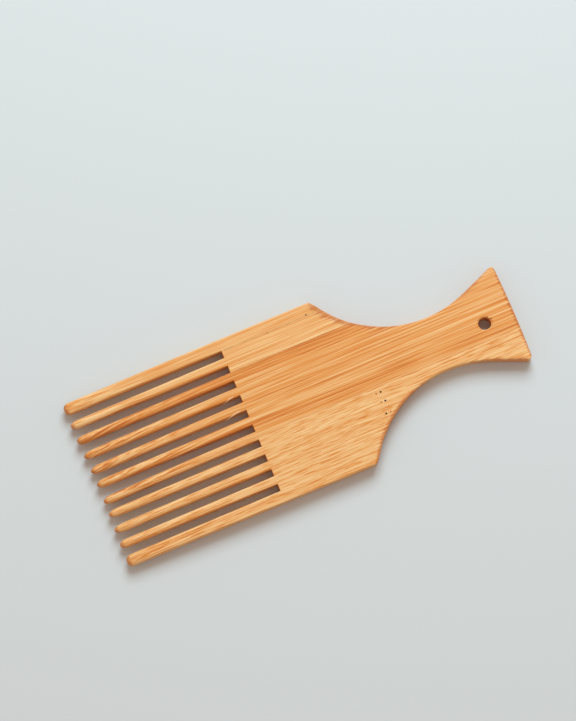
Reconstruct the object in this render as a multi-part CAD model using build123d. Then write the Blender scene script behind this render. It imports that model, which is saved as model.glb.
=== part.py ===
from build123d import *
import math
import os

# Wide tooth comb, cut from a blank of bamboo slats that are glued edge to edge.
# Millimetres. The comb lies flat: the underside is at Z = 0, the teeth point along -X,
# the handle along +X, and +Y is the side of the narrow guard slat.
# The origin is the middle of the whole comb, on its underside.

# The whole comb
comb_length = 180.0
body_width = 70.0
thickness = 7.0
tip_thickness = 5.0          # the comb is sanded thinner towards the teeth's tips
edge_ease = 0.5              # rounding of every edge of the two faces

# The teeth
slot_count = 10
slot_pitch = 6.4
slot_width = 3.0
slot_depth = 66.6
mouth_length = 4.5           # how far back from the tips a slot starts to widen
mouth_flare = 0.8            # how much each side of a slot has widened at the tips
guard_corner = 2.5           # outer corner of the two wide outer teeth

# The waist and the handle
neck_x = 56.9                # where the handle is narrowest
neck_width = 22.2
waist_radius = 45.6          # one arc from the shoulder, round the neck, to the flare
flare_start_x = 74.0         # the arc ends here, and a straight tangent goes on to the end
end_bow = 0.4                # how far the handle's end bulges
shoulder_corner = 2.5
end_corner = 2.5

# The hole that the comb hangs by
hole_radius = 2.5
hole_x = 77.4

# The slats, by the side of each glue line that is nearer the guard slat
glue_thickness = 0.15
guard_line_y = 30.3          # along the inner side of the guard tooth
upper_line_y = 21.05         # along the upper side of the third tooth
lower_line_y = -6.82         # splits the seventh tooth

# Worked out from the above
tip_x = -comb_length / 2
end_x = comb_length / 2
root_x = tip_x + slot_depth
thinning_start_x = root_x + 8.0
body_half = body_width / 2
mouth_radius = (mouth_length**2 + mouth_flare**2) / (2 * mouth_flare)
edge_margin = 5.0            # how far a cutting shape stands past what it cuts


def arc_y(x):
    """Half-width of the comb on the waist's arc."""
    centre_y = neck_width / 2 + waist_radius
    return centre_y - math.sqrt(waist_radius**2 - (x - neck_x)**2)


def half_outline():
    """Upper half of the comb's plan, from the tips to the handle's end."""
    centre_y = neck_width / 2 + waist_radius
    shoulder_x = neck_x - math.sqrt(waist_radius**2 - (centre_y - body_half)**2)
    flare_angle = math.asin((flare_start_x - neck_x) / waist_radius)
    corner_x = end_x - end_bow
    corner_y = arc_y(flare_start_x) + (corner_x - flare_start_x) * math.tan(flare_angle)
    bow_radius = (corner_y**2 + end_bow**2) / (2 * end_bow)
    neck = (neck_x, neck_width / 2)
    flare_start = (flare_start_x, arc_y(flare_start_x))
    edges = [
        Line((tip_x, 0), (tip_x, body_half)),
        Line((tip_x, body_half), (shoulder_x, body_half)),
        ThreePointArc((shoulder_x, body_half), neck, flare_start),
        Line(flare_start, (corner_x, corner_y)),
        RadiusArc((corner_x, corner_y), (end_x, 0), bow_radius),
        Line((end_x, 0), (tip_x, 0)),
    ]
    plan = make_face(edges)
    corners = plan.vertices().filter_by(lambda v: v.Y > 1)
    plan = fillet(corners.sort_by(Axis.X)[0], guard_corner)
    plan = fillet(nearest(plan, shoulder_x, body_half), shoulder_corner)
    return fillet(nearest(plan, corner_x, corner_y), end_corner)


def nearest(shape, x, y):
    """The shape's corner that is nearest to a point of the plan."""
    return shape.vertices().sort_by_distance((x, y, 0))[0]


def slot(y):
    """Plan of one slot: square at its closed end, and flared at the tips by an arc each side."""
    straight_x = tip_x + mouth_length
    far_x = tip_x - edge_margin
    edges = []
    for side in (1, -1):
        side_y = y + side * slot_width / 2
        mouth_y = side_y + side * mouth_flare
        edges += [
            Line((root_x, y), (root_x, side_y)),
            Line((root_x, side_y), (straight_x, side_y)),
            RadiusArc((straight_x, side_y), (tip_x, mouth_y), side * mouth_radius),
            Line((tip_x, mouth_y), (far_x, mouth_y)),
            Line((far_x, mouth_y), (far_x, y)),
        ]
    return make_face(edges)


def side_profile():
    """Side view of the comb: flat, then thinning along an arc that runs out past the tips."""
    tip_drop = (thickness - tip_thickness) / 2
    run = thinning_start_x - tip_x
    radius = (run**2 + tip_drop**2) / (2 * tip_drop)
    far_x = tip_x - edge_margin
    far_drop = radius - math.sqrt(radius**2 - (thinning_start_x - far_x)**2)
    far_end_x = end_x + edge_margin
    edges = [
        Line((far_end_x, 0), (thinning_start_x, 0)),
        RadiusArc((thinning_start_x, 0), (far_x, far_drop), radius),
        Line((far_x, far_drop), (far_x, thickness - far_drop)),
        RadiusArc((far_x, thickness - far_drop), (thinning_start_x, thickness), radius),
        Line((thinning_start_x, thickness), (far_end_x, thickness)),
        Line((far_end_x, thickness), (far_end_x, 0)),
    ]
    return Plane.XZ * make_face(edges)


def sawn_comb():
    """The comb as it is sawn out and drilled, with every edge still sharp."""
    half = half_outline()
    blank = extrude(half + mirror(half, Plane.XZ), thickness)
    for index in range(slot_count):
        y = (index - (slot_count - 1) / 2) * slot_pitch
        blank -= extrude(slot(y), thickness)
    blank &= extrude(side_profile(), body_width, both=True)
    return blank - Pos(hole_x, 0, 0) * extrude(Circle(hole_radius), thickness)


def ease_edges(blank):
    """Rounds the edges that run round the upper and the under face, the hole's among them."""
    faces = blank.faces().filter_by(lambda face: abs(face.normal_at().Z) > 0.9)
    rims = faces.edges()
    upright = blank.faces().filter_by(lambda face: abs(face.normal_at().Z) < 0.1).edges()
    shared = [edge for edge in rims if any(edge.is_same(other) for other in upright)]
    return fillet(shared, edge_ease)


def across(low_y, high_y):
    """A block over the whole comb between two planes that run along it."""
    length = comb_length + 2 * edge_margin
    block = Box(length, high_y - low_y, thickness + 2 * edge_margin)
    return Pos(0, (low_y + high_y) / 2, thickness / 2) * block


comb = ease_edges(sawn_comb())
print("comb", comb.is_valid, comb.volume, len(comb.solids()))

# From the guard side: each slat, and the glue line on its lower side
bands = {
    "guard_slat": (guard_line_y, body_half + edge_margin),
    "guard_glue_line": (guard_line_y - glue_thickness, guard_line_y),
    "upper_slat": (upper_line_y, guard_line_y - glue_thickness),
    "upper_glue_line": (upper_line_y - glue_thickness, upper_line_y),
    "centre_slat": (lower_line_y, upper_line_y - glue_thickness),
    "lower_glue_line": (lower_line_y - glue_thickness, lower_line_y),
    "lower_slat": (-body_half - edge_margin, lower_line_y - glue_thickness),
}

os.makedirs("parts", exist_ok=True)
for name, (low_y, high_y) in bands.items():
    piece = comb & across(low_y, high_y)
    print(name, len(piece.solids()), round(piece.volume, 1))
    export_step(piece, f"parts/{name}.step")
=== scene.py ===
# %% [markdown]
# # A wide tooth comb of pressed bamboo
#
# The comb is one flat board, glued up from bamboo slats and then sawn, drilled and sanded. Nothing in it
# moves, so the whole job is the surface: soft sanded edges, teeth that grow rounder towards their tips, and
# bamboo whose lines run the same way through all of it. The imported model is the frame: it says where each
# slat begins and ends.

# %% Load the frame
import math

import bmesh
import bpy
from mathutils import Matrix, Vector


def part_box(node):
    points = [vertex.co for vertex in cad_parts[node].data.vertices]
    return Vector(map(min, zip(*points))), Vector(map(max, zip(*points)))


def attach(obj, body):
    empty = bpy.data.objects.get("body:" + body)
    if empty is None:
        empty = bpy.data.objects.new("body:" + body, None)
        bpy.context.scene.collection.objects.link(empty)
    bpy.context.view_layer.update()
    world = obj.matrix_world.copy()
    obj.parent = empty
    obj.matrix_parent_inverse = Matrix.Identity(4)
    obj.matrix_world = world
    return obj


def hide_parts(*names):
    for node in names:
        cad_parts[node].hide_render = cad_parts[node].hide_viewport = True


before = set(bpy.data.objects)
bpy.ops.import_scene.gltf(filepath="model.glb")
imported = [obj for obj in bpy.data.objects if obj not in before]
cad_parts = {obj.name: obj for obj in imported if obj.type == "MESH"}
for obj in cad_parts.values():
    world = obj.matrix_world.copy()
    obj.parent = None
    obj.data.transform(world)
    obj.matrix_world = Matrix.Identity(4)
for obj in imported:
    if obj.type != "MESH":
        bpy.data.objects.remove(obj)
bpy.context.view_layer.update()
slats = ("guard_slat", "upper_slat", "centre_slat", "lower_slat")
low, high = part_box("centre_slat")

# %% [markdown]
# Blender works in metres here, and a comb is a thing of millimetres. The measures below are the comb's own,
# in millimetres, so that they can be read as a maker would say them. Only the last step of each mesh turns
# them into metres. What the frame knows, such as the tips, the handle's end and the glue planes, is read
# from the frame.

# %% The comb's measures, in millimetres
MM = 0.001
tip_x = low.x / MM
end_x = high.x / MM
thickness = (high.z - low.z) / MM
middle_z = thickness / 2
body_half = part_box("guard_slat")[1].y / MM
films = ("guard_glue_line", "upper_glue_line", "lower_glue_line")
glue_planes = {name: [corner.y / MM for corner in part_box(name)] for name in slats + films}

root_x = tip_x + 66.6
thinning_start_x = root_x + 8.0
tip_drop = 1.0
slot_pitch, slot_half, slot_count = 6.4, 1.5, 10
edge_radius, slot_easing = 0.5, 0.28
neck_x, neck_half, waist_radius = 56.9, 11.1, 45.6
flare_start_x, end_bow = 74.0, 0.4
shoulder_corner, end_corner = 2.5, 2.5
hole_x, hole_radius = 77.4, 2.5
cane_node_x = 26.6
print("tips at", tip_x, "end at", end_x, "thickness", thickness)

# %% [markdown]
# ## Camera, floor and light
#
# The comb lies on a plain pale floor and is looked at from almost straight above, through a long lens, so
# that the teeth stay parallel. The camera leans a little towards the lower guard tooth, which shows a thin
# band of every lower side. The light is a big cool window beyond the upper side, and a warm room gives as
# much again from all round, so that shadows are soft and a little brown. The slots stay dark because they
# are deep and narrow.

# %% Axes of the picture
from mathutils import Matrix, Vector

picture_turn = math.radians(22.8)
lean_back = math.radians(9)
picture_up = Vector((math.sin(picture_turn), math.cos(picture_turn), 0))
picture_right = Vector((math.cos(picture_turn), -math.sin(picture_turn), 0))
overhead = Vector((0, 0, 1))
look_at = Vector((-0.2, 17.05, middle_z)) * MM


# %% Camera
def aim(thing, place, right):
    """Puts a camera or lamp at a place so that it faces look_at, with the given direction to its right."""
    backwards = (place - look_at).normalized()
    upwards = backwards.cross(right).normalized()
    columns = Matrix((right.normalized(), upwards, backwards)).transposed()
    thing.matrix_world = Matrix.Translation(place) @ columns.to_4x4()


camera_distance = 1.6
picture_height = 0.2866
lens = bpy.data.cameras.new("camera")
lens.sensor_fit = "VERTICAL"
lens.angle = 2 * math.atan(picture_height / 2 / camera_distance)
camera = bpy.data.objects.new("camera", lens)
bpy.context.scene.collection.objects.link(camera)
bpy.context.scene.camera = camera
camera_away = overhead * math.cos(lean_back) - picture_up * math.sin(lean_back)
aim(camera, look_at + camera_away * camera_distance, picture_right)
print("camera", [round(value, 3) for value in camera.location])


# %% Window, room and floor
def new_piece(name, data):
    """A new object at the origin, in the scene."""
    piece = bpy.data.objects.new(name, data)
    bpy.context.scene.collection.objects.link(piece)
    return piece


window_distance = 1.2
window = bpy.data.lights.new("window", "AREA")
window.size = 0.7
window.energy = 14.3
window.color = (0.71, 0.9, 1.0)
window_away = picture_up * 0.85 + picture_right * 0.08 + overhead
window_place = look_at + window_away.normalized() * window_distance
aim(new_piece("window", window), window_place, window_away.cross(overhead))

room = bpy.data.worlds.new("room")
room.use_nodes = True
room_light = room.node_tree.nodes["Background"].inputs
room_light["Color"].default_value = (1, 0.85, 0.75, 1)
room_light["Strength"].default_value = 0.62
bpy.context.scene.world = room

floor_half = 1.5
floor_mesh = bpy.data.meshes.new("floor")
floor_corners = [(x * floor_half, y * floor_half, 0) for x, y in ((-1, -1), (1, -1), (1, 1), (-1, 1))]
floor_mesh.from_pydata(floor_corners, [], [(0, 1, 2, 3)])
floor = new_piece("floor", floor_mesh)
floor_finish = bpy.data.materials.new("pale_floor")
floor_finish.use_nodes = True
floor_surface = floor_finish.node_tree.nodes["Principled BSDF"].inputs
floor_surface["Base Color"].default_value = (0.6, 0.615, 0.61, 1)
floor_surface["Roughness"].default_value = 0.8
floor_mesh.materials.append(floor_finish)

# %% Colours on the screen are those of the surfaces, with no film look over them
bpy.context.scene.view_settings.view_transform = "Standard"

# %% [markdown]
# ## The outline
#
# Seen from above, the comb is a straight-sided body that runs in one big arc round the neck and then out
# along a tangent to the handle's end. One formula for the half-width keeps every slat on the same outline.
# A smooth minimum of the straight side and the arc rounds the shoulder's corner.

# %% Half-width of the comb, and how steep its outline is
arc_centre_y = neck_half + waist_radius
flare_slope = math.tan(math.asin((flare_start_x - neck_x) / waist_radius))


def waist(x):
    """Half-width on the arc round the neck, or on the tangent that runs on from it."""
    if x > flare_start_x:
        return waist(flare_start_x) + (x - flare_start_x) * flare_slope
    reach = min(abs(x - neck_x), waist_radius)
    return arc_centre_y - math.sqrt(waist_radius**2 - reach**2)


def half_width(x):
    """Half-width of the whole comb at x, with the shoulder and the end's corner rounded."""
    arc = waist(x)
    blend = max(shoulder_corner - abs(arc - body_half), 0.0) / shoulder_corner
    width = min(arc, body_half) - 0.25 * shoulder_corner * blend**2
    into_corner = min(max(x - (end_x - end_corner), 0.0), end_corner)
    return width - (end_corner - math.sqrt(end_corner**2 - into_corner**2))


def outline_slant(x):
    """Cosine of the outline's slope at x: turns a distance along Y into one across the edge."""
    step = 0.05
    ahead, behind = min(x + step, end_x), x - step
    slope = (half_width(ahead) - half_width(behind)) / (ahead - behind)
    return 1 / math.hypot(1, slope)


def shoulder_x(y):
    """Where the outline passes through a half-width y, between the body and the neck."""
    near, far = root_x + 20, neck_x
    for _ in range(40):
        middle = (near + far) / 2
        near, far = (middle, far) if half_width(middle) >= y - 1e-9 else (near, middle)
    return near


print("neck is", 2 * half_width(neck_x), "mm wide, the shoulder starts at x =", shoulder_x(body_half))

# %% [markdown]
# ## The teeth
#
# The teeth are sawn at an even pitch, then sanded by hand, so no two are quite alike: some lean a little,
# the middle ones have longer points, and a few are a hair shorter. The two outer teeth are wider and
# blunter. Each tooth is a function of x that gives its two edges, so that a tooth cut by a glue plane can
# be made as two halves that fit.

# %% One tooth's edges along its length
tooth_count = slot_count + 1
first_slot_y = -slot_pitch * (slot_count - 1) / 2
tip_lean = {4: 0.6, 6: 0.3, 7: 0.4}
tip_gap, shortening, shortest_tooth, short_teeth = 0.05, 0.65, 4.6, 3
guard_point, long_point, short_point = 2.6, 4.4, 2.9
wobble, narrowing, unevenness = 0.06, 0.04, 0.02


def tooth_root(index):
    """Lower and upper edge of a tooth at its root, counted from the lower guard tooth."""
    lower = -body_half if index == 0 else first_slot_y + (index - 1) * slot_pitch + slot_half
    upper = body_half if index == slot_count else first_slot_y + index * slot_pitch - slot_half
    return lower, upper


def tooth_tip(index):
    """Where a tooth ends: the middle ones are sanded a little shorter."""
    from_shortest = (index - shortest_tooth) / short_teeth
    return tip_x + tip_gap + shortening * max(1 - from_shortest**2, 0)


def tooth_edges(index, x):
    """Lower and upper edge of a tooth at x."""
    lower, upper = tooth_root(index)
    middle, half = (lower + upper) / 2, (upper - lower) / 2
    along = min(max((root_x - x) / (root_x - tip_x), 0), 1)
    is_guard = index in (0, slot_count)
    if not is_guard:
        middle -= tip_lean.get(index, 0) * along**2
        middle += wobble * math.sin(3.1 * index + 5 * along) * along
        half *= 1 - narrowing * along - unevenness * math.sin(1.7 * index + 9 * along) * along
    point_length = guard_point if is_guard else (long_point if 2 <= index <= 7 else short_point)
    bluntness = 2.6 if is_guard else 2.0
    to_tip = min(max((x - tooth_tip(index)) / point_length, 0), 1)
    half *= max(1 - (1 - to_tip)**bluntness, 0)**(1 / bluntness)
    return middle - half, middle + half


# %% [markdown]
# ## The thickness
#
# Both faces are the same height field, mirrored. It is flat over the body, falls along a long arc towards
# the tips, and drops off over a quarter circle near every sawn edge. On the teeth that quarter circle grows
# from a crisp half millimetre at the root to nearly the whole half-width at the tip, which is what sanding
# does to them.

# %% Height of the upper face above the comb's middle plane
thinning_radius = ((thinning_start_x - tip_x)**2 + tip_drop**2) / (2 * tip_drop)
tip_easing, tip_rounding, tip_share = 1.2, 2.4, 0.25


def half_thickness(x):
    """Half the comb's thickness at x, before its edges are eased."""
    run = max(thinning_start_x - x, 0)
    return middle_z - (thinning_radius - math.sqrt(thinning_radius**2 - run**2))


def easing_radius(x):
    """Radius of the eased edges: crisp at the root, larger towards the tips."""
    along = min(max((root_x - x) / (root_x - tip_x), 0), 1)
    return slot_easing + tip_easing * along**0.8


def quarter_round(distance, radius):
    """How far a face has dropped at a distance from its sawn edge."""
    inside = max(radius - max(distance, 0), 0)
    return radius - math.sqrt(max(radius**2 - inside**2, 0))


def tooth_height(index, x, y):
    """Height of a tooth's face, which is rounded to its two edges and to its tip."""
    lower, upper = tooth_edges(index, x)
    radius = min(easing_radius(x), 0.48 * (upper - lower) + 0.02)
    point = min(max((x - tooth_tip(index)) / tip_rounding, 0), 1)
    rounded = math.sqrt(max(1 - (1 - point)**2, 0))
    full = half_thickness(x) * (tip_share + (1 - tip_share) * rounded)
    return full - quarter_round(min(y - lower, upper - y), min(radius, 0.9 * full))


def body_height(x, y):
    """Height of the face over the body and the handle."""
    edge = (half_width(x) - abs(y)) * outline_slant(x)
    edge = min(edge, end_x - end_bow * (y / half_width(end_x))**2 - x)
    slot = round((y - first_slot_y) / slot_pitch)
    slot_y = first_slot_y + min(max(slot, 0), slot_count - 1) * slot_pitch
    beside = max(abs(y - slot_y) - slot_half, 0)
    from_slot = math.hypot(x - root_x, beside)
    dropped = max(quarter_round(edge, edge_radius), quarter_round(from_slot, slot_easing))
    return half_thickness(x) - dropped


# %% [markdown]
# ## A slat as a plan of quads
#
# A slat is laid out as a plan: columns that run along the grain and rows that cross it. Where a tooth or
# the body has an eased edge, the columns crowd together beside it, because that is where the face bends.
# The plan is lifted twice, once for each face, and a wall joins the two. The result is a coarse cage, and a
# Subdivision Surface modifier rounds it off. Edges where two faces meet squarely are creased, so that the
# glue faces and the slots stay sharp.

# %% Columns of a slat
ring_steps = (0, 0.12, 0.45, 1)


def slat_teeth(plane_low, plane_high):
    """The teeth that lie between a slat's glue planes, whole or in part."""
    least = 0.1
    roots = enumerate(tooth_root(index) for index in range(tooth_count))
    return [index for index, (lower, upper) in roots
            if lower + least < plane_high and upper - least > plane_low]


def tooth_columns(index, x, plane_low, plane_high):
    """Places of a tooth's columns at x: crowded at each sawn edge, and one at a glue plane that cuts it."""
    lower, upper = tooth_edges(index, x)
    root_lower, root_upper = tooth_root(index)
    ring = min(easing_radius(x), 0.45 * (upper - lower))
    cut_low, cut_high = root_lower < plane_low - 0.01, root_upper > plane_high + 0.01
    low_side = [plane_low] if cut_low else [lower + step * ring for step in ring_steps]
    high_side = [plane_high] if cut_high else [upper - step * ring for step in reversed(ring_steps)]
    middle = [(low_side[-1] + high_side[0]) / 2]
    places = low_side + middle + high_side
    return [min(max(y, plane_low), plane_high) for y in places]


def spread(start, stop, gap):
    """Evenly spaced places from start up to stop, about a gap apart, without stop itself."""
    count = max(round((stop - start) / gap), 1)
    return [start + (stop - start) * step / count for step in range(count)]


def tooth_rows(index, plane_low, plane_high):
    """Places of a tooth's rows, from the tip to just before the root, closer together near the tip."""
    start = tooth_tip(index)
    lower, upper = tooth_edges(index, start + 0.06)
    while min(upper, plane_high) - max(lower, plane_low) < 0.12:
        start += 0.1
        lower, upper = tooth_edges(index, start + 0.06)
    rows = [start + step for step in (0.06, 0.25, 0.6, 1.1, 1.8, 2.7, 3.8, 5.2, 7.5)]
    rows += spread(rows[-1] + 6, root_x - 4, 14)
    return rows + [root_x - 4, root_x - 1.2, root_x - 0.3]


# %% Rows of a slat's body
def edge_offset(distance, x):
    """A distance across the outline at x, measured along Y."""
    return distance / max(outline_slant(x), 0.5)


def body_columns(root_columns, x, plane_low, plane_high):
    """Where the root's columns have moved to at x, as the outline closes in on them."""
    low_edge, high_edge = max(plane_low, -half_width(x)), min(plane_high, half_width(x))
    first, last = root_columns[0], root_columns[-1]
    low_ring = edge_offset(edge_radius, x) if low_edge > plane_low else edge_radius
    high_ring = edge_offset(edge_radius, x) if high_edge < plane_high else edge_radius
    places = []
    for y in root_columns:
        if y - first < edge_radius:
            places.append(low_edge + (y - first) * low_ring / edge_radius)
        elif last - y < edge_radius:
            places.append(high_edge - (last - y) * high_ring / edge_radius)
        else:
            share = (y - first - edge_radius) / (last - first - 2 * edge_radius)
            inner_low, inner_high = low_edge + low_ring, high_edge - high_ring
            places.append(inner_low + share * (inner_high - inner_low))
    return places


def body_rows(plane_high):
    """Rows of a slat that runs to the handle's end, crowded at the shoulder, the crossing and the end."""
    rows = [root_x + step * slot_easing for step in ring_steps] + [root_x + edge_radius]
    shoulder = shoulder_x(body_half)
    crossing = shoulder_x(min(plane_high, body_half - 0.01)) if plane_high > 0 else shoulder + 6
    rows += spread(root_x + 2, shoulder - 0.6, 9)
    rows += [shoulder - 0.6, shoulder, shoulder + 0.5, shoulder + 1.2]
    rows += spread(shoulder + 2.2, crossing - 0.4, 3) + [crossing - 0.4, crossing, crossing + 0.4]
    rows += spread(crossing + 2.5, end_x - end_corner, 4.2)
    rows += [end_x - end_corner * share for share in (1, 0.72, 0.47, 0.26, 0.1, 0.03)]
    return rows + [end_x]


# %% Lay out a slat's plan
def long_slat_plan(plane_low, plane_high, root_columns):
    """Rows of points for the body of a slat that reaches the handle's end."""
    rows = []
    for x in body_rows(plane_high):
        bowed = max(0, x - (end_x - 8)) / 8
        row = []
        for y in body_columns(root_columns, x, plane_low, plane_high):
            row.append((x - end_bow * bowed**2 * (y / half_width(end_x))**2, y))
        rows.append(row)
    return rows


def short_slat_plan(root_columns):
    """Rows of points for the body of a slat that the shoulder's arc cuts off, slanted to follow the arc."""
    row_count, rim = 9, 1.25 * edge_radius
    rows = []
    for step in ring_steps[:-1]:
        rows.append([(root_x + step * edge_radius, y) for y in root_columns])
    for share in (step / row_count for step in range(row_count + 1)):
        row = []
        for y in root_columns:
            stop = shoulder_x(y) - rim
            row.append((root_x + edge_radius + share * (stop - root_x - edge_radius), y))
        rows.append(row)
    for step in reversed(ring_steps[:-1]):
        rows.append([(shoulder_x(y) - step * rim, y) for y in root_columns])
    return rows


def slot_columns(low_y, high_y):
    """Columns of the body behind a slot: one by each corner, to keep it square, and one between."""
    beside = 0.35
    return [low_y + beside, (low_y + high_y) / 2, high_y - beside]


def slat_plan(name):
    """Quads of a slat's plan, as lists of corner points, each with the tooth that it belongs to or None."""
    plane_low, plane_high = glue_planes[name]
    quads, root_columns, previous_upper = [], [], plane_low
    for index in slat_teeth(plane_low, plane_high):
        at_root = tooth_columns(index, root_x, plane_low, plane_high)
        if at_root[0] > previous_upper + 0.05:
            if not root_columns:
                root_columns.append(plane_low)
            root_columns += slot_columns(previous_upper, at_root[0])
        root_columns += at_root
        previous_upper = at_root[-1]
        rows = tooth_rows(index, plane_low, plane_high)
        grid = [[(x, y) for y in tooth_columns(index, x, plane_low, plane_high)] for x in rows]
        grid.append([(root_x, y) for y in at_root])
        quads += grid_quads(grid, index)
    if plane_high > previous_upper + 0.05:
        root_columns += slot_columns(previous_upper, plane_high) + [plane_high]
    if plane_low < 0:
        body = long_slat_plan(plane_low, plane_high, root_columns)
    else:
        body = short_slat_plan(root_columns)
    return quads + grid_quads(body, None)


def grid_quads(grid, tooth):
    """The quads between neighbouring rows of points."""
    quads = []
    for near, far in zip(grid, grid[1:]):
        for column in range(len(near) - 1):
            corners = (near[column], far[column], far[column + 1], near[column + 1])
            quads.append((corners, tooth))
    return quads


print("the centre slat's plan has", len(slat_plan("centre_slat")), "quads")

# %% Lift a plan into a cage
def end_rim(x, y):
    """How near a point is to an edge that the fibres run out of: 1 on it, 0 from two millimetres inside."""
    depth = 2.0
    cut_across = min(2 * math.sqrt(1 - outline_slant(x)**2), 1)
    from_side = (half_width(x) - abs(y)) * outline_slant(x)
    at_side = cut_across * max(1 - from_side / depth, 0)
    at_end = max(1 - (end_x - x) / depth, 0)
    return min(max(at_side, at_end), 1)


def lift_plan(name, quads, sink=0.0):
    """A closed cage from a plan: two faces from the height functions, and a wall between them."""
    # The middle of every side wall gets this much, so the whole side is painted paler: partly wear, partly
    # a painted highlight
    wear_and_highlight_on_wall = 0.55
    cage = bmesh.new()
    # wear_and_highlight is 0 on a flat face and 1 where an edge has fully dropped away; the material paints
    # these places paler, partly as sanding wear and partly as a painted highlight
    wear_and_highlight_layer = cage.verts.layers.float.new("wear_and_highlight")
    rim_layer = cage.verts.layers.float.new("end_rim")
    corner_verts = {}

    def corner(point, tooth, side):
        key = (round(point[0], 4), round(point[1], 4), side)
        if key not in corner_verts:
            x, y = point
            in_tooth = tooth is not None and x < root_x - 1e-6
            height = tooth_height(tooth, x, y) if in_tooth else body_height(x, y)
            vert = cage.verts.new((x * MM, y * MM, (middle_z + side * (height - sink)) * MM))
            dropped = (half_thickness(x) - height) / edge_radius
            vert[wear_and_highlight_layer] = min(dropped, 1)
            vert[rim_layer] = 0 if in_tooth else end_rim(x, y)
            corner_verts[key] = vert
        return corner_verts[key]

    for corners, tooth in quads:
        top = [corner(point, tooth, 1) for point in corners]
        bottom = [corner(point, tooth, -1) for point in reversed(corners)]
        if len(set(top)) > 2:
            cage.faces.new(list(dict.fromkeys(top)))
            cage.faces.new(list(dict.fromkeys(bottom)))
    opposite = {corner_verts[x, y, side]: corner_verts[x, y, -side] for x, y, side in corner_verts}
    waist_verts = {}
    for edge in [edge for edge in cage.edges if edge.is_boundary]:
        first, second = edge.verts
        if first.co.z < middle_z * MM:
            continue
        for vert in (first, second):
            if vert not in waist_verts:
                waist_verts[vert] = cage.verts.new((vert.co.x, vert.co.y, middle_z * MM))
                waist_verts[vert][wear_and_highlight_layer] = wear_and_highlight_on_wall
                waist_verts[vert][rim_layer] = vert[rim_layer]
        cage.faces.new((first, second, waist_verts[second], waist_verts[first]))
        cage.faces.new((waist_verts[first], waist_verts[second], opposite[second], opposite[first]))
    bmesh.ops.recalc_face_normals(cage, faces=cage.faces)
    crease_square_edges(cage, glue_planes[name])
    mesh = bpy.data.meshes.new(name)
    cage.to_mesh(mesh)
    cage.free()
    mesh.shade_smooth()
    return mesh


def crease_square_edges(cage, planes):
    """Creases the edges of the glue planes, and the square edges apart from the teeth's sanded tips."""
    soft_length, glued_angle, sawn_angle = 6, math.radians(40), math.radians(58)
    crease = cage.edges.layers.float.new("crease_edge")
    for edge in cage.edges:
        first, second = (vert.co / MM for vert in edge.verts)
        glued = any(max(abs(first.y - plane), abs(second.y - plane)) < 0.001 for plane in planes)
        beyond_tip = min(first.x, second.x) > tip_x + soft_length
        if edge.calc_face_angle() > (glued_angle if glued else sawn_angle) and (glued or beyond_tip):
            edge[crease] = 1.0
            edge.smooth = False


# %% [markdown]
# ## Bamboo
#
# Bamboo has no rings and no figure. It is a bundle of straight dark fibres in a pale ground, so a slat
# shows fine lines along its length, broken into dashes where the surface runs slightly across them, and
# dots where it is cut across. One volume of colour does all of that: noise that is stretched a long way
# along X and is fine across it. Because it reads the object's own coordinates, the lines run from a face
# over its edge and down the side. Towards the tips the fibres of the middle slat bend aside and dive, so
# its teeth show short slanting streaks.
#
# The slats are one make-up with different numbers: how strong the broad stripes are, how fine the lines,
# how broken the dashes, and where a slat has darker bands. So one function makes them all. A single number,
# the darkness, is built up first, and one ramp turns it into colour, because pale ground and dark fibre
# differ only in how much brown they hold.

# %% Colours, written as they should look on the screen
def linear(red, green, blue, share=0.95):
    """A screen's colour of 0 to 255, as the linear colour of a surface that this light brings up to it."""
    channels = [value / 255 for value in (red, green, blue)]
    return tuple(share * ((c + 0.055) / 1.055)**2.4 for c in channels) + (1.0,)


# %% Places of a material's nodes in the editor
def lay_out(nodes, groups):
    """Gives each (title, nodes) group a frame and a row of its own."""
    column_gap, row_gap = 260, 420
    for row, (title, members) in enumerate(groups):
        box = nodes.new("NodeFrame")
        box.label = title
        for column, node in enumerate(members):
            node.parent = box
            node.location = (column * column_gap, -row * row_gap)


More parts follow.
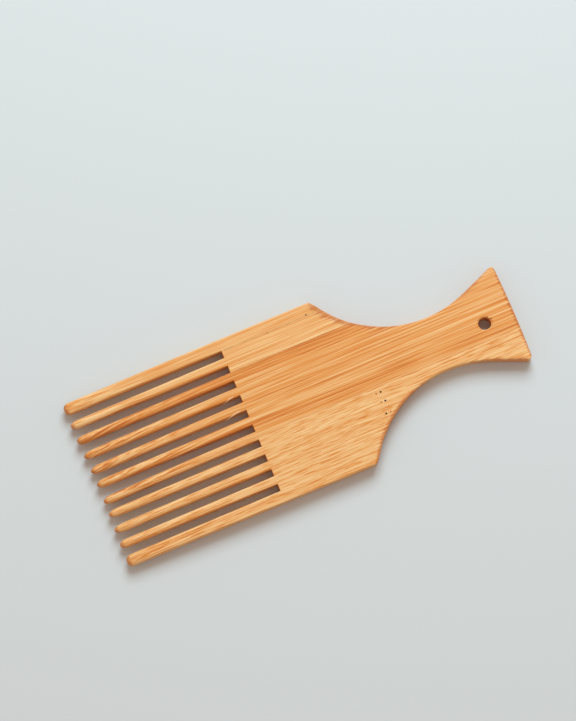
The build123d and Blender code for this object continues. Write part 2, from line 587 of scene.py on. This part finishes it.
# %% Bamboo material
def bamboo(name, bands, broad, fine, dashes, dash_length, wander, tip_bend, node_line, seed):
    """A slat's finish. bands are (distance across the slat, darkness) pairs. All distances are in mm."""
    material = bpy.data.materials.new(name)
    material.use_nodes = True
    nodes, links = material.node_tree.nodes, material.node_tree.links
    nodes.clear()

    # Millimetres, and where along and across the comb a point is
    place = nodes.new("ShaderNodeTexCoord")
    place.label = "where on the comb"
    in_mm = nodes.new("ShaderNodeVectorMath")
    in_mm.label = "metres to millimetres"
    in_mm.operation = "SCALE"
    in_mm.inputs["Scale"].default_value = 1 / MM
    links.new(place.outputs["Object"], in_mm.inputs[0])
    split = nodes.new("ShaderNodeSeparateXYZ")
    split.label = "along, across, up"
    links.new(in_mm.outputs["Vector"], split.inputs["Vector"])
    to_tips = nodes.new("ShaderNodeMapRange")
    to_tips.label = "how near the tips"
    to_tips.inputs["From Min"].default_value = -28
    to_tips.inputs["From Max"].default_value = -90
    links.new(split.outputs["X"], to_tips.inputs["Value"])

    # The grain wanders sideways along its length, and bends aside and down towards the tips
    slow = nodes.new("ShaderNodeMapping")
    slow.label = "slow along the grain"
    slow.inputs["Location"].default_value = (seed, seed * 2, 0)
    slow.inputs["Scale"].default_value = (0.022, 0.05, 0.05)
    links.new(in_mm.outputs["Vector"], slow.inputs["Vector"])
    drift = nodes.new("ShaderNodeTexNoise")
    drift.label = "how the grain wanders"
    drift.inputs["Scale"].default_value = 1.0
    drift.inputs["Detail"].default_value = 1.0
    links.new(slow.outputs["Vector"], drift.inputs["Vector"])
    sideways = nodes.new("ShaderNodeVectorMath")
    sideways.label = "sideways only"
    sideways.operation = "MULTIPLY_ADD"
    sideways.inputs[1].default_value = (0, wander, wander)
    links.new(drift.outputs["Color"], sideways.inputs[0])
    links.new(in_mm.outputs["Vector"], sideways.inputs[2])
    bend = nodes.new("ShaderNodeMath")
    bend.label = "more and more"
    bend.operation = "POWER"
    bend.inputs[1].default_value = 2
    links.new(to_tips.outputs["Result"], bend.inputs[0])
    bend_by = nodes.new("ShaderNodeVectorMath")
    bend_by.label = "aside and down"
    bend_by.operation = "SCALE"
    bend_by.inputs[0].default_value = (0, *tip_bend)
    links.new(bend.outputs["Value"], bend_by.inputs["Scale"])
    grain = nodes.new("ShaderNodeVectorMath")
    grain.label = "along the grain"
    grain.operation = "ADD"
    links.new(sideways.outputs["Vector"], grain.inputs[0])
    links.new(bend_by.outputs["Vector"], grain.inputs[1])

    # Four noises, each stretched along the grain. Dashes are bundles that come to the surface and dive
    stretches, noises = {}, {}
    for kind, shift, scale, detail in (
        ("broad stripes", (seed, 0, seed), (0.01, 0.7, 0.4), 1.0),
        ("fine lines", (0, seed, seed), (0.018, 1.6, 1.0), 2.0),
        ("dashes", (seed, seed, 0), (1 / dash_length, 2.3, 1.6), 2.0),
        ("fibre relief", (0, 0, 0), (0.06, 4.0, 4.0), 3.0),
    ):
        stretch = nodes.new("ShaderNodeMapping")
        stretch.label = "stretch of the " + kind
        stretch.inputs["Location"].default_value = shift
        stretch.inputs["Scale"].default_value = scale
        links.new(grain.outputs["Vector"], stretch.inputs["Vector"])
        noise = nodes.new("ShaderNodeTexNoise")
        noise.label = kind
        noise.inputs["Scale"].default_value = 1.0
        noise.inputs["Detail"].default_value = detail
        links.new(stretch.outputs["Vector"], noise.inputs["Vector"])
        stretches[kind], noises[kind] = stretch, noise
    noises["fine lines"].inputs["Roughness"].default_value = 0.75

    # Stripes and lines make the ground paler and darker. Dashes are the darkest parts of their noise only
    strengths = {}
    for kind, start, stop, paler, darker in (
        ("broad stripes", 0.36, 0.64, -broad, broad),
        ("fine lines", 0.4, 0.6, -fine, fine),
        ("dashes", 0.5, 0.6, 0, dashes),
    ):
        strength = nodes.new("ShaderNodeMapRange")
        strength.label = "strength of the " + kind
        strength.inputs["From Min"].default_value = start
        strength.inputs["From Max"].default_value = stop
        strength.inputs["To Min"].default_value = paler
        strength.inputs["To Max"].default_value = darker
        links.new(noises[kind].outputs["Fac"], strength.inputs["Value"])
        strengths[kind] = strength
    strengths["dashes"].interpolation_type = "SMOOTHSTEP"

    # Stripes and lines together, stronger near the tips
    lines = nodes.new("ShaderNodeMath")
    lines.label = "broad and fine"
    lines.operation = "ADD"
    links.new(strengths["broad stripes"].outputs["Result"], lines.inputs[0])
    links.new(strengths["fine lines"].outputs["Result"], lines.inputs[1])
    tip_strength = nodes.new("ShaderNodeMath")
    tip_strength.label = "stronger near the tips"
    tip_strength.operation = "MULTIPLY_ADD"
    tip_strength.inputs[1].default_value = 1.1
    tip_strength.inputs[2].default_value = 1.0
    links.new(to_tips.outputs["Result"], tip_strength.inputs[0])

    # Bands across the slat, which fade along the handle towards a little less than their average
    start, stop = bands[0][0], bands[-1][0]
    bands_y = nodes.new("ShaderNodeSeparateXYZ")
    bands_y.label = "across, with the wander"
    links.new(sideways.outputs["Vector"], bands_y.inputs["Vector"])
    across = nodes.new("ShaderNodeMapRange")
    across.label = "across the slat"
    across.inputs["From Min"].default_value = start + wander / 2
    across.inputs["From Max"].default_value = stop + wander / 2
    links.new(bands_y.outputs["Y"], across.inputs["Value"])
    band_ramp = nodes.new("ShaderNodeValToRGB")
    band_ramp.label = "bands"
    stops = band_ramp.color_ramp.elements
    for number, (y, darkness) in enumerate(bands):
        share = (y - start) / (stop - start)
        stop_here = stops[number] if number < 2 else stops.new(share)
        stop_here.position = share
        stop_here.color = (darkness, darkness, darkness, 1)
    links.new(across.outputs["Result"], band_ramp.inputs["Fac"])
    band_fade = nodes.new("ShaderNodeMapRange")
    band_fade.label = "bands fade along the handle"
    band_fade.interpolation_type = "SMOOTHSTEP"
    band_fade.inputs["From Min"].default_value = 38
    band_fade.inputs["From Max"].default_value = 60
    band_fade.inputs["To Max"].default_value = 0.75
    links.new(split.outputs["X"], band_fade.inputs["Value"])
    average = 0.85 * sum(darkness for y, darkness in bands) / len(bands)
    banded = nodes.new("ShaderNodeMix")
    banded.label = "bands' darkness"
    banded.inputs["B"].default_value = average
    links.new(band_fade.outputs["Result"], banded.inputs["Factor"])
    links.new(band_ramp.outputs["Color"], banded.inputs["A"])

    # The node of the cane: a faint broken line across the slat
    from_node = nodes.new("ShaderNodeMath")
    from_node.label = "distance from the node"
    from_node.operation = "COMPARE"
    from_node.inputs[1].default_value = cane_node_x
    from_node.inputs[2].default_value = 0.2
    links.new(split.outputs["X"], from_node.inputs[0])
    node_broken = nodes.new("ShaderNodeMath")
    node_broken.label = "broken by the dashes"
    node_broken.operation = "MULTIPLY"
    links.new(from_node.outputs["Value"], node_broken.inputs[0])
    links.new(noises["dashes"].outputs["Fac"], node_broken.inputs[1])

    # All the darkness together, then the colour
    lined = nodes.new("ShaderNodeMath")
    lined.label = "bands with lines"
    lined.operation = "MULTIPLY_ADD"
    links.new(lines.outputs["Value"], lined.inputs[0])
    links.new(tip_strength.outputs["Value"], lined.inputs[1])
    links.new(banded.outputs["Result"], lined.inputs[2])
    dashed = nodes.new("ShaderNodeMath")
    dashed.label = "with dashes"
    dashed.operation = "ADD"
    links.new(lined.outputs["Value"], dashed.inputs[0])
    links.new(strengths["dashes"].outputs["Result"], dashed.inputs[1])
    darkness = nodes.new("ShaderNodeMath")
    darkness.label = "with the node"
    darkness.operation = "MULTIPLY_ADD"
    darkness.inputs[1].default_value = node_line
    links.new(node_broken.outputs["Value"], darkness.inputs[0])
    links.new(dashed.outputs["Value"], darkness.inputs[2])
    colour = nodes.new("ShaderNodeValToRGB")
    colour.label = "pale ground to dark fibre"
    colour.color_ramp.elements[0].color = linear(242, 194, 134)
    colour.color_ramp.elements[1].color = linear(196, 103, 28)
    colour.color_ramp.elements.new(0.3).color = linear(232, 172, 105)
    colour.color_ramp.elements.new(0.65).color = linear(223, 140, 58)
    links.new(darkness.outputs["Value"], colour.inputs["Fac"])

    # End grain: orange brown with dots wherever the surface is cut across the fibres
    facing = nodes.new("ShaderNodeSeparateXYZ")
    facing.label = "which way the surface faces"
    links.new(place.outputs["Normal"], facing.inputs["Vector"])
    along = nodes.new("ShaderNodeMath")
    along.label = "faces along the grain"
    along.operation = "ABSOLUTE"
    links.new(facing.outputs["X"], along.inputs[0])
    cut_across = nodes.new("ShaderNodeMapRange")
    cut_across.label = "end grain"
    cut_across.interpolation_type = "SMOOTHSTEP"
    cut_across.inputs["From Min"].default_value = 0.1
    cut_across.inputs["From Max"].default_value = 0.6
    links.new(along.outputs["Value"], cut_across.inputs["Value"])
    rim = nodes.new("ShaderNodeAttribute")
    rim.label = "nearness to an end-grain edge"
    rim.attribute_name = "end_rim"
    ragged = nodes.new("ShaderNodeMath")
    ragged.label = "ragged by the fine lines"
    ragged.operation = "ADD"
    links.new(rim.outputs["Fac"], ragged.inputs[0])
    links.new(strengths["fine lines"].outputs["Result"], ragged.inputs[1])
    ragged_edge = nodes.new("ShaderNodeMapRange")
    ragged_edge.label = "torn rim"
    ragged_edge.interpolation_type = "SMOOTHSTEP"
    ragged_edge.inputs["From Min"].default_value = 0.3
    ragged_edge.inputs["From Max"].default_value = 0.7
    links.new(ragged.outputs["Value"], ragged_edge.inputs["Value"])
    either = nodes.new("ShaderNodeMath")
    either.label = "side or rim"
    either.operation = "MAXIMUM"
    links.new(cut_across.outputs["Result"], either.inputs[0])
    links.new(ragged_edge.outputs["Result"], either.inputs[1])
    pores_place = nodes.new("ShaderNodeMapping")
    pores_place.label = "pores' scale"
    pores_place.inputs["Scale"].default_value = (0.5, 1.7, 1.7)
    links.new(grain.outputs["Vector"], pores_place.inputs["Vector"])
    pores = nodes.new("ShaderNodeTexVoronoi")
    pores.label = "ends of the bundles"
    pores.inputs["Scale"].default_value = 1.0
    links.new(pores_place.outputs["Vector"], pores.inputs["Vector"])
    pore_dark = nodes.new("ShaderNodeMapRange")
    pore_dark.label = "dark in each bundle's middle"
    pore_dark.inputs["From Min"].default_value = 0.1
    pore_dark.inputs["From Max"].default_value = 0.6
    pore_dark.inputs["To Min"].default_value = 1.0
    pore_dark.inputs["To Max"].default_value = 0.65
    links.new(pores.outputs["Distance"], pore_dark.inputs["Value"])
    end_grain = nodes.new("ShaderNodeMath")
    end_grain.label = "end grain's darkness"
    end_grain.operation = "MULTIPLY"
    links.new(either.outputs["Value"], end_grain.inputs[0])
    links.new(pore_dark.outputs["Result"], end_grain.inputs[1])
    end_mix = nodes.new("ShaderNodeMix")
    end_mix.label = "colour with end grain"
    end_mix.data_type = "RGBA"
    end_mix.inputs["B"].default_value = linear(190, 100, 32)
    links.new(end_grain.outputs["Value"], end_mix.inputs["Factor"])
    links.new(colour.outputs["Color"], end_mix.inputs["A"])

    # Eased edges, the teeth's rounded tips and the side walls are mixed a little towards a paler colour:
    # partly sanding that rubs them paler, partly a painted highlight where rounded edges catch the light
    edge = nodes.new("ShaderNodeAttribute")
    edge.label = "nearness to a sanded edge"
    edge.attribute_name = "wear_and_highlight"
    rubbed_and_highlit = nodes.new("ShaderNodeMapRange")
    rubbed_and_highlit.label = "rubbed along the edge"
    rubbed_and_highlit.inputs["From Min"].default_value = 0.02
    rubbed_and_highlit.inputs["From Max"].default_value = 0.4
    rubbed_and_highlit.inputs["To Max"].default_value = 0.16
    links.new(edge.outputs["Fac"], rubbed_and_highlit.inputs["Value"])
    worn_and_highlit = nodes.new("ShaderNodeMix")
    worn_and_highlit.label = "colour with worn edges"
    worn_and_highlit.data_type = "RGBA"
    worn_and_highlit.inputs["B"].default_value = linear(238, 186, 120)
    links.new(rubbed_and_highlit.outputs["Result"], worn_and_highlit.inputs["Factor"])
    links.new(end_mix.outputs["Result"], worn_and_highlit.inputs["A"])

    # Roughness and relief
    rough = nodes.new("ShaderNodeMapRange")
    rough.label = "fibres are duller than the ground"
    rough.inputs["To Min"].default_value = 0.42
    rough.inputs["To Max"].default_value = 0.64
    links.new(darkness.outputs["Value"], rough.inputs["Value"])
    height = nodes.new("ShaderNodeMath")
    height.label = "fibres stand lower"
    height.operation = "SUBTRACT"
    links.new(noises["fibre relief"].outputs["Fac"], height.inputs[0])
    links.new(darkness.outputs["Value"], height.inputs[1])
    bump = nodes.new("ShaderNodeBump")
    bump.label = "bump of the fibres"
    bump.inputs["Strength"].default_value = 0.3
    bump.inputs["Distance"].default_value = 0.0001
    links.new(height.outputs["Value"], bump.inputs["Height"])

    surface = nodes.new("ShaderNodeBsdfPrincipled")
    surface.label = "sanded and oiled bamboo"
    surface.inputs["Specular IOR Level"].default_value = 0.35
    links.new(worn_and_highlit.outputs["Result"], surface.inputs["Base Color"])
    links.new(rough.outputs["Result"], surface.inputs["Roughness"])
    links.new(bump.outputs["Normal"], surface.inputs["Normal"])
    result = nodes.new("ShaderNodeOutputMaterial")
    result.label = "surface"
    links.new(surface.outputs["BSDF"], result.inputs["Surface"])

    lay_out(nodes, (
        ("Place", (place, in_mm, split, to_tips)),
        ("Wander and bend of the grain", (slow, drift, sideways, bend, bend_by, grain)),
        *((kind.capitalize(), (stretches[kind], noises[kind], strengths[kind])) for kind in strengths),
        ("Stripes and lines together", (lines, tip_strength)),
        ("Bands", (bands_y, across, band_ramp, band_fade, banded)),
        ("Node of the cane", (from_node, node_broken)),
        ("Darkness to colour", (lined, dashed, darkness, colour)),
        ("End grain", (facing, along, cut_across, rim, ragged, ragged_edge, either)),
        ("Pores", (pores_place, pores, pore_dark, end_grain, end_mix)),
        # The paler edges: sanding wear and a painted highlight
        ("Worn edges", (edge, rubbed_and_highlit, worn_and_highlit)),
        ("Roughness", (rough,)),
        ("Relief", (stretches["fibre relief"], noises["fibre relief"], height, bump)),
        ("Surface", (surface, result)),
    ))
    return material


# %% The four slats' finishes
finishes = {
    "guard_slat": bamboo(
        "side_grain_bamboo", bands=[(30.3, 0.36), (31.5, 0.26), (33.0, 0.3), (34.2, 0.42), (35, 0.3)],
        broad=0.07, fine=0.16, dashes=0.16, dash_length=16,
        wander=1.0, tip_bend=(-1.5, 4.0), node_line=0, seed=3.1),
    "upper_slat": bamboo(
        "fine_line_bamboo", bands=[(21.0, 0.2), (23.0, 0.32), (26.0, 0.28), (29.5, 0.3), (30.2, 0.2)],
        broad=0.1, fine=0.22, dashes=0.16, dash_length=22,
        wander=0.5, tip_bend=(-1.0, 3.0), node_line=0, seed=7.7),
    "centre_slat": bamboo(
        "banded_bamboo", bands=[
            (-6.9, 0.55), (-5.3, 0.5), (-4.9, 0.62), (-0.8, 0.6), (-0.4, 0.4), (2.3, 0.34), (2.6, 0.18),
            (2.85, 0.66), (3.6, 0.42), (8.0, 0.4), (8.6, 0.62), (9.2, 0.4), (12.5, 0.46), (16.6, 0.44),
            (17.3, 0.66), (20.9, 0.62)],
        broad=0.08, fine=0.22, dashes=0.2, dash_length=24,
        wander=0.7, tip_bend=(4.5, 6.0), node_line=0, seed=12.9),
    "lower_slat": bamboo(
        "flat_grain_bamboo", bands=[(-35, 0.26), (-20, 0.18), (-9, 0.2), (-7, 0.24)],
        broad=0.06, fine=0.16, dashes=0.42, dash_length=8.5,
        wander=1.2, tip_bend=(0.5, 3.0), node_line=0.2, seed=21.3),
}
print(len(finishes), "bamboo finishes")

# %% [markdown]
# ## Glue, pith and splinters
#
# The glue shows as a hair line, a little browner than the bamboo and glossier. The bottom of a pit is
# painted nearly black. Where two teeth were sawn roughly, fibres have lifted: they are the slat's palest
# wood, with no stripes of their own.

# %% Hard glue
def hard_glue():
    """A film of hardened glue, a little browner in places."""
    material = bpy.data.materials.new("hard_glue")
    material.use_nodes = True
    nodes, links = material.node_tree.nodes, material.node_tree.links
    nodes.clear()
    place = nodes.new("ShaderNodeTexCoord")
    place.label = "where on the comb"
    stretch = nodes.new("ShaderNodeMapping")
    stretch.label = "long stains"
    stretch.inputs["Scale"].default_value = (150, 900, 900)
    links.new(place.outputs["Object"], stretch.inputs["Vector"])
    stain = nodes.new("ShaderNodeTexNoise")
    stain.label = "stains along the line"
    stain.inputs["Scale"].default_value = 1.0
    links.new(stretch.outputs["Vector"], stain.inputs["Vector"])
    colour = nodes.new("ShaderNodeValToRGB")
    colour.label = "honey to brown"
    colour.color_ramp.elements[0].position = 0.35
    colour.color_ramp.elements[0].color = linear(228, 164, 98)
    colour.color_ramp.elements[1].position = 0.7
    colour.color_ramp.elements[1].color = linear(200, 128, 64)
    links.new(stain.outputs["Fac"], colour.inputs["Fac"])
    bump = nodes.new("ShaderNodeBump")
    bump.label = "uneven film"
    bump.inputs["Strength"].default_value = 0.2
    bump.inputs["Distance"].default_value = 0.00005
    links.new(stain.outputs["Fac"], bump.inputs["Height"])
    surface = nodes.new("ShaderNodeBsdfPrincipled")
    surface.label = "hardened glue"
    surface.inputs["Roughness"].default_value = 0.32
    links.new(colour.outputs["Color"], surface.inputs["Base Color"])
    links.new(bump.outputs["Normal"], surface.inputs["Normal"])
    result = nodes.new("ShaderNodeOutputMaterial")
    result.label = "surface"
    links.new(surface.outputs["BSDF"], result.inputs["Surface"])
    lay_out(nodes, (("Stains", (place, stretch, stain, colour)), ("Film", (bump, surface, result))))
    return material


# %% Nearly black pit bottoms and pale torn fibre
def crumbly(name, dark, pale, grain_size, roughness):
    """A rough broken surface: the nearly black bottom of a pit, a rusty scar, or a torn fibre."""
    material = bpy.data.materials.new(name)
    material.use_nodes = True
    nodes, links = material.node_tree.nodes, material.node_tree.links
    nodes.clear()
    place = nodes.new("ShaderNodeTexCoord")
    place.label = "where on the comb"
    crumbs = nodes.new("ShaderNodeTexNoise")
    crumbs.label = "crumbs"
    crumbs.inputs["Scale"].default_value = 1 / grain_size
    links.new(place.outputs["Object"], crumbs.inputs["Vector"])
    colour = nodes.new("ShaderNodeMix")
    colour.label = "dark to pale"
    colour.data_type = "RGBA"
    colour.inputs["A"].default_value = dark
    colour.inputs["B"].default_value = pale
    links.new(crumbs.outputs["Fac"], colour.inputs["Factor"])
    bump = nodes.new("ShaderNodeBump")
    bump.label = "broken surface"
    bump.inputs["Distance"].default_value = 0.00003
    links.new(crumbs.outputs["Fac"], bump.inputs["Height"])
    surface = nodes.new("ShaderNodeBsdfPrincipled")
    surface.label = "dry and dull"
    surface.inputs["Roughness"].default_value = roughness
    links.new(colour.outputs["Result"], surface.inputs["Base Color"])
    links.new(bump.outputs["Normal"], surface.inputs["Normal"])
    result = nodes.new("ShaderNodeOutputMaterial")
    result.label = "surface"
    links.new(surface.outputs["BSDF"], result.inputs["Surface"])
    lay_out(nodes, (("Crumbs", (place, crumbs, colour)), ("Surface", (bump, surface, result))))
    return material


glue_finish = hard_glue()
# A pit's bottom is painted nearly black, for the bud pits and the glue flaws alike
near_black_pit_finish = crumbly("near_black_pit", linear(40, 24, 16), linear(96, 58, 34), 0.0002, 0.9)
rust_finish = crumbly("rust_pith", linear(176, 104, 48), linear(216, 146, 82), 0.0002, 0.8)
torn_finish = crumbly("torn_fibre", linear(236, 186, 128), linear(250, 214, 166), 0.0003, 0.6)
print("glue, pith and torn fibre finishes")

# %% [markdown]
# ## The pieces
#
# Four slats and three films of glue, each in place of its node in the frame. The cages have from some
# hundreds of quads to six thousand, and one or two levels of subdivision finish them. The films stand a
# hundredth of a millimetre under the slats.

# %% Make the seven pieces
glue_recess = 0.01
pieces = {}
for name in slats + films:
    is_film = name in films
    mesh = lift_plan(name, slat_plan(name), glue_recess if is_film else 0)
    mesh.materials.append(glue_finish if is_film else finishes[name])
    piece = new_piece(name.replace("_slat", "_bamboo").replace("_line", "_film"), mesh)
    rounding = piece.modifiers.new("sanded smooth", "SUBSURF")
    rounding.levels = rounding.render_levels = 1 if is_film else 2
    pieces[name] = piece
    print(piece.name, len(mesh.polygons), "quads in the cage")

# %% [markdown]
# ## The hanging hole and the pits of the bamboo's node
#
# The hole is drilled, and its rims are eased like every other edge. A profile turned by a Screw modifier
# gives the shape that is missing, and a Boolean takes it away. The little pits on the lower slat are where
# buds sat on the living cane, each with a rusty scar beside it, and two more are flaws beside the glue.
# They are cut the same way, with stretched balls that bring their own finish. All the balls of a slat are
# one cutter, so that their finishes stay apart. A Boolean names another object, so the stack is applied and
# the cutter is removed.

# %% Helpers for cutting
def applied(piece):
    """Applies a piece's whole stack of modifiers to its mesh."""
    depsgraph = bpy.context.evaluated_depsgraph_get()
    mesh = bpy.data.meshes.new_from_object(piece.evaluated_get(depsgraph))
    piece.modifiers.clear()
    old, piece.data = piece.data, mesh
    bpy.data.meshes.remove(old)


def cut(piece, cutter):
    """Takes the cutter's shape out of a piece, then removes the cutter."""
    taking = piece.modifiers.new("cut by " + cutter.name, "BOOLEAN")
    taking.operation = "DIFFERENCE"
    taking.solver = "EXACT"
    taking.material_mode = "TRANSFER"
    taking.object = cutter
    applied(piece)
    bpy.data.objects.remove(cutter)


# %% The drill, turned from a profile
def drill_profile():
    """Radius and height of the drilled shape, from top to bottom, flared at both faces."""
    overlap, reach = 0.2, 1.0
    upper = [(hole_radius + edge_radius + overlap, thickness + reach)]
    for angle in range(90, -1, -15):
        rise = edge_radius * math.sin(math.radians(angle))
        flare = edge_radius - math.sqrt(edge_radius**2 - rise**2)
        upper.append((hole_radius + flare, thickness - edge_radius + rise))
    lower = [(radius, thickness - height) for radius, height in reversed(upper)]
    return upper + lower


profile = bpy.data.meshes.new("drill")
points = [(radius * MM, 0, height * MM) for radius, height in drill_profile()]
points = [(0, 0, points[0][2])] + points + [(0, 0, points[-1][2])]
profile.from_pydata(points, [(step, step + 1) for step in range(len(points) - 1)], [])
drill = new_piece("drill", profile)
turning = drill.modifiers.new("turned", "SCREW")
turning.steps = turning.render_steps = 48
turning.use_merge_vertices = True
turning.merge_threshold = 0.00001
applied(drill)
drill.data.transform(Matrix.Translation((hole_x * MM, 0, 0)))
drill.data.materials.append(finishes["centre_slat"])
cut(pieces["centre_slat"], drill)
print("drilled", pieces["centre_slat"].name, "now", len(pieces["centre_slat"].data.polygons), "faces")


# %% The pits
def pit_cutter(name, pits):
    """Stretched balls that reach into the upper face. A pit is (x, y, width, depth, finish)."""
    half_length = 0.55
    balls = bmesh.new()
    finishes_used = []
    for x, y, width, depth, finish in pits:
        if finish not in finishes_used:
            finishes_used.append(finish)
        verts = bmesh.ops.create_icosphere(balls, subdivisions=2, radius=1)["verts"]
        for vert in verts:
            offset = Vector((vert.co.x * half_length * width, vert.co.y * width / 2, vert.co.z * depth))
            vert.co = (Vector((x, y, thickness)) + offset) * MM
        for face in {face for vert in verts for face in vert.link_faces}:
            face.material_index = finishes_used.index(finish)
    mesh = bpy.data.meshes.new(name)
    balls.to_mesh(mesh)
    balls.free()
    for finish in finishes_used:
        mesh.materials.append(finish)
    return new_piece(name, mesh)


node_pits = []
for x, y, beside in ((28.5, -9.3, -1.9), (28.9, -13.2, -1.7), (27.2, -18.1, 1.9)):
    node_pits += [(x, y, 0.8, 0.5, near_black_pit_finish), (x + beside, y, 0.8, 0.15, rust_finish)]
cut(pieces["lower_slat"], pit_cutter("buds", node_pits))
cut(pieces["guard_slat"], pit_cutter("glue_flaw", [(13.2, 30.75, 0.55, 0.3, near_black_pit_finish)]))
cut(pieces["upper_slat"], pit_cutter("small_glue_flaw", [(-3.7, 29.8, 0.45, 0.2, rust_finish)]))
print("cut", len(node_pits) + 2, "pits")


# %% Splinters
def splinter(name, start, end, lift, thickest):
    """A fibre that has lifted at start and runs out at end, as a curve that is thickest at its foot."""
    foot_depth, dive, thinning = 0.15, 0.5, 0.85
    curve = bpy.data.curves.new(name, "CURVE")
    curve.dimensions = "3D"
    curve.bevel_depth = thickest / 2 * MM
    curve.bevel_resolution = 2
    curve.use_fill_caps = True
    line = curve.splines.new("NURBS")
    line.points.add(3)
    for number, point in enumerate(line.points):
        share = number / 3
        x = start[0] + (end[0] - start[0]) * share
        y = start[1] + (end[1] - start[1]) * share**1.4
        z = thickness - foot_depth - dive * share + lift * math.sin(math.pi * share)
        point.co = (x * MM, y * MM, z * MM, 1)
        point.radius = 1 - thinning * share
    line.order_u = 3
    line.use_endpoint_u = True
    curve.materials.append(torn_finish)
    return new_piece(name, curve)


splinters = [
    splinter("splinter_1", (-25.6, 5.2), (-32.2, 3.9), 0.15, 0.5),
    splinter("splinter_2", (-26.6, 5.4), (-30.6, 4.3), 0.35, 0.35),
    splinter("splinter_3", (-26.0, 11.5), (-30.6, 10.3), 0.15, 0.4),
    splinter("splinter_4", (-27.0, 11.6), (-29.6, 10.8), 0.3, 0.3),
]
print(len(splinters), "splinters")

# %% [markdown]
# ## Joining the body
#
# Every piece rides on the one body. Where a piece stands in for a node of the frame, that node is hidden.

# %% Ride on the body and hide the frame's nodes
for name, piece in pieces.items():
    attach(piece, "root")
    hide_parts(name)
for piece in splinters:
    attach(piece, "root")
